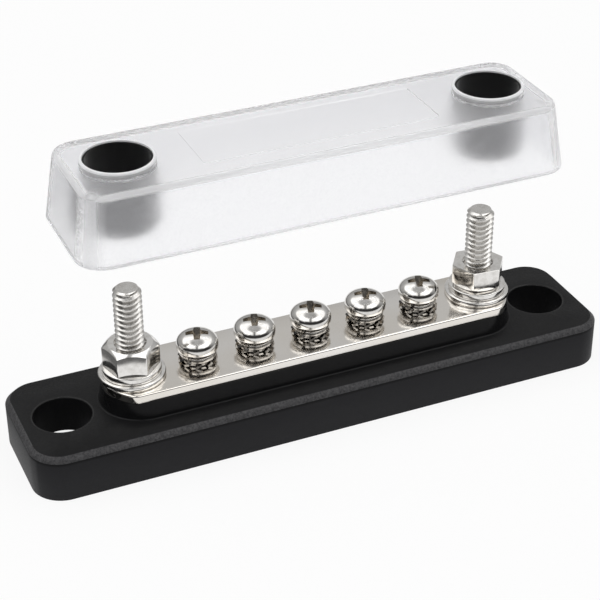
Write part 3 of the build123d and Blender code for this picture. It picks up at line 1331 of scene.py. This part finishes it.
@dataclass(frozen=True)
class Bar:
    """The plated bar with soft corners and a rolled top edge. Sizes in millimetres.

    The lower edge gives the inset and height of each of its outlines.
    """

    half_length: float = 49.5
    half_width: float = 8.85
    end_radius: float = 10.6
    corner: float = 3.0
    bottom: float = 15.05
    top: float = 17.05
    lower_edge: tuple[Pair, ...] = ((0.06, 0.01), (0.0, 0.08))
    rolled_edge: float = 0.42
    rolled_steps: int = 6
    stud_x: float = 42.85
    stud_hole: float = 3.375
    screw_hole: float = 2.55
    hole_steps: int = 40
    drill_length: float = 6.0
    arc_steps: int = 10

    def outline(self, inset: float) -> list[Pair]:
        """Draws the bar's outline.

        Args:
            inset: How far it is drawn in.

        Returns:
            The points round it, in order.
        """
        centre = self.half_length - self.end_radius
        middle_y = self.half_width - self.corner
        middle_x = centre + math.sqrt((self.end_radius - self.corner) ** 2 - middle_y ** 2)
        turn = math.atan2(middle_y, middle_x - centre)
        quarter = arc((centre, 0.0), self.end_radius - inset, 0.0, turn, self.arc_steps)
        quarter += arc((middle_x, middle_y), self.corner - inset, turn, math.pi / 2,
                       self.arc_steps)[1:]
        back = [(-x, y) for x, y in reversed(quarter)]
        front = [(-x, -y) for x, y in quarter[1:]]
        return quarter + back + front + [(x, -y) for x, y in reversed(quarter[1:])]

    def build(self, screws: list[float]) -> Shell:
        """Makes the bar and bores it.

        Args:
            screws: Where the terminal screws stand.

        Returns:
            The bored bar.
        """
        rings = [ring_at(self.outline(inset), self.bottom + rise)
                 for inset, rise in self.lower_edge]
        for step in range(self.rolled_steps + 1):
            angle = math.radians(90 * step / self.rolled_steps)
            rings.append(ring_at(self.outline(self.rolled_edge * (1 - math.cos(angle))),
                                 self.top - self.rolled_edge * (1 - math.sin(angle))))
        drills = bmesh.new()
        bores = [(x, self.stud_hole) for x in (-self.stud_x, self.stud_x)]
        for x, radius in bores + [(screw, self.screw_hole) for screw in screws]:
            middle = Matrix.Translation((x, 0, (self.top + self.bottom) / 2))
            bmesh.ops.create_cone(drills, cap_ends=True, segments=self.hole_steps,
                                  radius1=radius, radius2=radius, depth=self.drill_length,
                                  matrix=middle)
        return cut_away(stacked_rings(rings, closed=False), drills)


@dataclass(frozen=True)
class BaseMoulding:
    """The base as packed, with a shallow pocket below each mounting hole. Millimetres.

    The white floor shows past the lower end of a hole's far wall, so the hole is shorter than
    the slab is thick and the underside is open there.
    """

    pocket_inner: float = 50.6
    pocket_outer: float = 66.7
    pocket_half_width: float = 13.0
    pocket_height: float = 2.0
    pocket_corner: float = 4.0
    corner_steps: int = 8

    def pocket(self, side: int) -> Shell:
        """Makes one pocket's shape, with rounded upright corners.

        Args:
            side: 1 for the right end and -1 for the left.

        Returns:
            A closed block that stands from below the base up to the pocket's ceiling.
        """
        block = bmesh.new()
        length = self.pocket_outer - self.pocket_inner
        middle = side * (self.pocket_outer + self.pocket_inner) / 2
        size = Matrix.Diagonal((length, 2 * self.pocket_half_width, 2 * self.pocket_height, 1))
        bmesh.ops.create_cube(block, size=1.0, matrix=Matrix.Translation((middle, 0, 0)) @ size)
        upright = [edge for edge in block.edges
                   if abs(edge.verts[0].co.z - edge.verts[1].co.z) > self.pocket_height]
        bmesh.ops.bevel(block, geom=upright, offset=self.pocket_corner,
                        segments=self.corner_steps, profile=0.5, affect="EDGES")
        return block

    def build(self, node: bpy.types.Object) -> Shell:
        """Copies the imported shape, merges its doubled points and cuts the two pockets.

        Args:
            node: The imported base, which stays as it is.

        Returns:
            The relieved base in millimetres.
        """
        base = bmesh.new()
        base.from_mesh(node.data)
        bmesh.ops.scale(base, verts=base.verts[:], vec=(1 / MM, 1 / MM, 1 / MM))
        bmesh.ops.remove_doubles(base, verts=base.verts[:], dist=MERGE_BELOW)
        for side in (-1, 1):
            base = cut_away(base, self.pocket(side))
        return base


@dataclass(frozen=True)
class Sleeve:
    """The black sleeve in a collar, a hair clear of it, with a rounded lip. Millimetres."""

    side: Side
    x: float
    bottom: float
    top: float
    bore: float = 6.8
    radius: float = 7.31
    lip: float = 0.18

    def build(self, finishes: Finishes) -> None:
        """Makes the sleeve.

        Args:
            finishes: The materials to choose from.
        """
        section = rounded_section(self.bore, self.radius, self.bottom, self.top, self.lip)
        Piece(f"sleeve_{self.side.value}", "cover", "sleeve_rubber", finishes.sleeve,
              (f"cover_sleeve_{self.side.value}",),
              mirrored=False).make(turned(section, closed=True), self.x)


# The studio


def direction_of(azimuth: float, elevation: float) -> Vector:
    """Works out where something stands round the object.

    Args:
        azimuth: Its direction in degrees, counted to the right; 0 is the front.
        elevation: Its height above the horizon, in degrees.

    Returns:
        The direction from the object to it, of length 1.
    """
    turn, rise = math.radians(azimuth), math.radians(elevation)
    return Vector((math.sin(turn) * math.cos(rise), -math.cos(turn) * math.cos(rise),
                   math.sin(rise)))


@dataclass(frozen=True)
class SoftBox:
    """A square area lamp that looks at the bus bar. Degrees, metres and watts."""

    name: str
    azimuth: float
    elevation: float
    size: float
    distance: float = 0.9
    power: float = 0.6

    def build(self) -> None:
        """Hangs the lamp."""
        lamp = bpy.data.lights.new(self.name, "AREA")
        lamp.shape = "RECTANGLE"
        lamp.size = lamp.size_y = self.size
        lamp.energy = self.power
        holder = bpy.data.objects.new(self.name, lamp)
        bpy.context.scene.collection.objects.link(holder)
        back = direction_of(self.azimuth, self.elevation)
        holder.location = back * self.distance
        holder.rotation_mode = "QUATERNION"
        holder.rotation_quaternion = (-back).to_track_quat("-Z", "Y")


@dataclass(frozen=True)
class Studio:
    """A pale floor in a room with a high ring of light, dark low down behind the camera.

    Directions are taken from the camera: across to its right, and away from it. Each wall is a
    row of heights and levels, from the horizon up. A ray whose transmission depth is above
    first_pass has gone through the plastic. Lengths in metres.
    """

    azimuth: float = -23.353
    floor_half: float = 3.0
    floor_drop: float = 0.00005
    floor_colour: Triple = (0.93, 0.93, 0.93)
    floor_roughness: float = 0.9
    floor_glow: float = 0.88
    mirrored_floor: Pair = (0.92, 0.05)
    mirror_fades_ahead: Pair = (0.090, 0.120)
    mirror_fades_left: Pair = (0.078, 0.094)
    front_wall: tuple[Pair, ...] = (
        (0.0, 0.03), (0.3, 0.05), (0.5, 0.16), (0.8, 0.42), (1.0, 0.52))
    back_wall: tuple[Pair, ...] = (
        (0.0, 0.44), (0.3, 0.54), (0.55, 0.68), (0.8, 0.62), (1.0, 0.54))
    wall_change: Pair = (-0.5, 0.35)
    ring_level: float = 1.3
    ring_gap: Pair = (0.05, 0.14)
    ring_bottom: Pair = (0.50, 0.62)
    ring_top: Pair = (0.88, 0.96)
    ring_ends: Pair = (0.45, 0.75)
    overhead: Pair = (0.6, 1.0)
    overhead_levels: Pair = (1.0, 0.6)
    first_pass: float = 0.5
    lamps: tuple[SoftBox, ...] = (SoftBox("box_left", -76.0, 44.0, 0.6),
                                  SoftBox("box_right", 31.0, 48.0, 0.55))

    @property
    def away(self) -> Vector:
        """The level direction away from the camera."""
        return -direction_of(self.azimuth, 0.0)

    @property
    def across(self) -> Vector:
        """The level direction to the camera's right."""
        return direction_of(self.azimuth + 90.0, 0.0)

    def floor(self) -> None:
        """Makes the floor, whose brightness is mostly its own where it is seen or mirrored."""
        shape = bmesh.new()
        bmesh.ops.create_grid(shape, x_segments=1, y_segments=1, size=self.floor_half)
        shifted(shape, z=-self.floor_drop)
        mesh = bpy.data.meshes.new("floor")
        shape.to_mesh(mesh)
        shape.free()
        floor = bpy.data.objects.new("floor", mesh)
        bpy.context.scene.collection.objects.link(floor)
        recipe = Recipe("pale_floor")
        recipe.set(Base_Color=self.floor_colour, Roughness=self.floor_roughness,
                   Specular_IOR_Level=0.0)
        path = recipe.add("ShaderNodeLightPath").outputs
        seen = recipe.highest(path["Is Camera Ray"], path["Is Transmission Ray"],
                              path["Is Glossy Ray"])
        white, dark = self.mirrored_floor
        level = recipe.product(
            recipe.spread(recipe.measure("DOT_PRODUCT", recipe.place, -self.away), (white, dark),
                          self.mirror_fades_ahead, True),
            recipe.spread(recipe.measure("DOT_PRODUCT", recipe.place, -self.across), (1.0, dark),
                          self.mirror_fades_left, True))
        direct = recipe.maths("LESS_THAN", path["Transmission Depth"], self.first_pass)
        mirrored = recipe.product(path["Is Glossy Ray"], recipe.maths("SUBTRACT", level, 1.0),
                                  direct)
        glow = recipe.add("ShaderNodeEmission", Strength=recipe.maths("ADD", mirrored, 1.0))
        recipe.cover_with(recipe.mix(recipe.spread(seen, (0.0, self.floor_glow)), recipe.shader,
                                     glow))
        mesh.materials.append(recipe.material)

    @staticmethod
    def wall(nodes: Nodes, height: Socket, levels: tuple[Pair, ...]) -> Socket:
        """Works out how bright a wall is at a height.

        Args:
            nodes: The world's nodes.
            height: The height, from 0 at the horizon to 1 overhead.
            levels: The wall's heights and levels.

        Returns:
            The brightness, eased from level to level.
        """
        ramp = nodes.add("ShaderNodeValToRGB", Fac=height)
        ramp.color_ramp.interpolation = "EASE"
        stops = ramp.color_ramp.elements
        while len(stops) < len(levels):
            stops.new(0.5)
        for stop, (position, level) in zip(stops, levels):
            stop.position = position
            stop.color = (level, level, level, 1.0)
        return ramp.outputs["Color"]

    def room_light(self, nodes: Nodes, direction: Socket, height: Socket) -> Socket:
        """Works out how bright the room is in a direction.

        Args:
            nodes: The world's nodes.
            direction: The direction looked in.
            height: How high that looks, up to 1 overhead.

        Returns:
            The brightness.
        """
        depth = nodes.measure("DOT_PRODUCT", direction, self.away)
        sideways = nodes.unsigned(nodes.measure("DOT_PRODUCT", direction, self.across))
        backward = nodes.spread(depth, (0.0, 1.0), self.wall_change, True)
        back = nodes.product(self.wall(nodes, height, self.back_wall), backward)
        front = nodes.product(self.wall(nodes, height, self.front_wall),
                              nodes.remainder(backward))
        ring = nodes.product(
            nodes.spread(sideways, (0.0, self.ring_level), self.ring_gap, True),
            nodes.spread(height, (0.0, 1.0), self.ring_bottom, True),
            nodes.spread(height, (1.0, 0.0), self.ring_top, True),
            nodes.spread(depth, (1.0, 0.0), self.ring_ends, True))
        return nodes.maths("ADD", back, front, ring)

    def room(self) -> None:
        """Makes the world: white where it is seen, and the studio's walls everywhere else."""
        world = bpy.data.worlds.new("room")
        world.use_nodes = True
        nodes = Nodes(world.node_tree)
        output = nodes.add("ShaderNodeOutputWorld")
        path = nodes.add("ShaderNodeLightPath").outputs
        direction = nodes.add("ShaderNodeTexCoord").outputs["Generated"]
        height = nodes.axes(direction)[2]
        lit = nodes.add("ShaderNodeBackground",
                        Strength=self.room_light(nodes, direction, height))
        seen = nodes.add("ShaderNodeBackground", Color=(1.0, 1.0, 1.0))
        behind_plastic = nodes.maths("GREATER_THAN", path["Transmission Depth"], self.first_pass)
        through = nodes.product(behind_plastic,
                                nodes.spread(height, self.overhead_levels, self.overhead))
        either = nodes.highest(path["Is Camera Ray"], through)
        nodes.fill(output, Surface=nodes.mix(either, lit, seen).outputs[0])
        bpy.context.scene.world = world

    def build(self) -> None:
        """Sets up the floor, the room and the lamps."""
        self.floor()
        self.room()
        for lamp in self.lamps:
            lamp.build()


@dataclass(frozen=True)
class Viewpoint:
    """The photograph's camera. Degrees, millimetres and pixels of a 600 pixel frame.

    The offset is how far the origin lies across, down and ahead of it. Clipping is in metres.
    """

    azimuth: float = -23.353
    elevation: float = 31.639
    roll: float = -0.353
    focal: float = 1700.0
    offset: Triple = (2.497, 21.596, 397.191)
    frame: float = 600.0
    sensor: float = 36.0
    clipping: Pair = (0.01, 20.0)

    def build(self) -> None:
        """Makes the camera and hands it to the scene."""
        back = direction_of(self.azimuth, self.elevation)
        level = direction_of(self.azimuth + 90.0, 0.0)
        upright = back.cross(level)
        roll = math.radians(self.roll)
        right = level * math.cos(roll) + upright * math.sin(roll)
        up = upright * math.cos(roll) - level * math.sin(roll)
        across, down, ahead = self.offset
        place = -(right * across - up * down - back * ahead) * MM
        lens = bpy.data.cameras.new("viewpoint")
        lens.sensor_width = self.sensor
        lens.lens = self.focal / self.frame * self.sensor
        lens.clip_start, lens.clip_end = self.clipping
        camera = bpy.data.objects.new("viewpoint", lens)
        bpy.context.scene.collection.objects.link(camera)
        turn = Matrix((right, up, back)).transposed().to_4x4()
        camera.matrix_world = Matrix.Translation(place) @ turn
        bpy.context.scene.camera = camera


def corners(box: tuple[Vector, Vector]) -> list[list[float]]:
    """A box's two corners as plain lists."""
    return [list(corner) for corner in box]


def middle_x(low: Vector, high: Vector) -> float:
    """Where the middle of a box stands on the bar, in millimetres."""
    return (low.x + high.x) / 2 / MM


def main() -> None:
    """Builds the bus bar's looks, its studio and its camera."""
    logging.basicConfig(level=logging.INFO, format="%(name)s %(message)s")
    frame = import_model()
    bpy.context.scene.view_settings.view_transform = "Standard"
    Viewpoint().build()
    Studio().build()
    finishes = Finishes()
    nodes = frame["nodes"]
    dress(nodes["cover"], finishes.clear)
    Piece("base_moulding", "base", "base_plastic", finishes.moulding,
          ("base",)).make(BaseMoulding().build(nodes["base"]))
    ends = ((Side.LEFT, 44.0, NutFace.UP), (Side.RIGHT, 54.7, NutFace.DOWN))
    for side, nut_turn, nut_face in ends:
        low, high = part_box(f"stud_{side.value}")
        StudSet(side, middle_x(low, high), nut_turn, nut_face).build(finishes)
        low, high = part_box(f"cover_sleeve_{side.value}")
        Sleeve(side, middle_x(low, high), low.z / MM, high.z / MM).build(finishes)
    screws = []
    for number in SCREW_NUMBERS:
        # The star washers take the darker washer steel, which is partly painted shade.
        dress(nodes[f"star_washer_{number}"], finishes.spring)
        low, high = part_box(f"terminal_screw_{number}")
        screws.append(middle_x(low, high))
        TerminalScrew(number, screws[-1]).build(finishes)
    Piece("plated_bar", "base", "bar_plating", finishes.plate,
          ("bus_bar",)).make(Bar().build(screws))
    bpy.context.view_layer.update()


if __name__ == "__main__":
    main()
